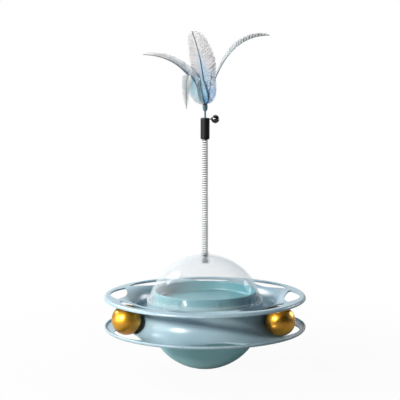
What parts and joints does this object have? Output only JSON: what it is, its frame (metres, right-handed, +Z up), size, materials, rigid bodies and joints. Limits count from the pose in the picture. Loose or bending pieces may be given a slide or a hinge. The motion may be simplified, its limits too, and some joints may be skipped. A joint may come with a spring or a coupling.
{
  "type": "cat treat ball with ball track and feather wand",
  "caption": "Weighted rocking sphere with a clear dome over a treat tray, a ring-shaped ball track round it and a feather and bell on a spring wand.",
  "frame": {"origin": "centre of the small flat foot under the sphere, on the floor", "axes": "+Z up along the wand, -Y towards the side that the picture shows, +X to its right"},
  "size_m": [0.25, 0.25, 0.4174],
  "materials": {
    "teal_shell": "smooth moulded gloss",
    "ballast_iron": "rough cast",
    "inner_plastic": "plain moulded",
    "screw_steel": "zinc plated",
    "track_blue": "smooth moulded satin gloss",
    "teal_tray": "smooth moulded satin gloss",
    "ball_gold": "pearl gold gloss",
    "clear_plastic": "clear polished",
    "plug_plastic": "plain moulded",
    "spring_steel": "bright drawn wire",
    "sleeve_black": "black satin",
    "stem_dark": "dark, wound with thread",
    "feather_pale": "soft vane, pale grey",
    "feather_sky": "soft vane, light blue",
    "feather_pale_blue": "soft vane, pale blue",
    "feather_blue": "soft vane, mid blue",
    "feather_periwinkle": "soft vane, speckled violet blue",
    "bell_chrome": "polished dark plating"
  },
  "bodies": {
    "base": {"bottom_shell": "teal_shell", "counterweight": "ballast_iron", "weight_retainer": "inner_plastic", "retainer_screws": "screw_steel", "lower_track": "track_blue", "upper_track": "track_blue", "track_screws": "screw_steel", "treat_tray": "teal_tray"},
    "ball_left": {"track_ball_left": "ball_gold"},
    "ball_right": {"track_ball_right": "ball_gold"},
    "dome": {"clear_dome": "clear_plastic"},
    "wand_foot": {"wand_plug": "plug_plastic"},
    "wand_middle": {"wand_spring": "spring_steel"},
    "wand_head": {"wand_sleeve": "sleeve_black", "feather_stem": "stem_dark", "quill_binding": "stem_dark", "bell_eye": "bell_chrome", "feather_upright": "feather_pale", "feather_left_arch": "feather_sky", "feather_left_back": "feather_pale_blue", "feather_left_curl": "feather_pale", "feather_left_front": "feather_blue", "feather_right_front": "feather_periwinkle", "feather_right_arch": "feather_sky"},
    "bell": {"bell_cap": "bell_chrome", "bell_cup": "bell_chrome", "bell_pea": "screw_steel"}
  },
  "joints": [
    {"name": "ball_left_orbit", "type": "hinge", "parent": "base", "child": "ball_left", "pos_m": [0, 0, 0.07065], "axis": [0, 0, 1], "continuous": true},
    {"name": "ball_right_orbit", "type": "hinge", "parent": "ball_left", "child": "ball_right", "pos_m": [0, 0, 0.07065], "axis": [0, 0, 1], "range_deg": [-100, 217]},
    {"name": "dome_lift", "type": "slide", "parent": "base", "child": "dome", "axis": [0, 0, 1], "range_m": [0, 0.06]},
    {"name": "wand_pull", "type": "slide", "parent": "dome", "child": "wand_foot", "axis": [0, 0, 1], "range_m": [0, 0.025]},
    {"name": "wand_sway_side", "type": "hinge", "parent": "wand_foot", "child": "wand_middle", "pos_m": [0, 0, 0.18025], "axis": [0, 1, 0], "range_deg": [-35, 35], "stiffness_Nm_per_rad": 0.12, "deforming": ["wand_spring"]},
    {"name": "wand_sway_fore", "type": "hinge", "parent": "wand_middle", "child": "wand_head", "pos_m": [0, 0, 0.25075], "axis": [1, 0, 0], "range_deg": [-35, 35], "stiffness_Nm_per_rad": 0.1, "deforming": ["wand_spring"]},
    {"name": "bell_swing", "type": "hinge", "parent": "wand_head", "child": "bell", "pos_m": [0.0065, 0, 0.31085], "axis": [0, -1, 0], "range_deg": [0, 55]}
  ]
}
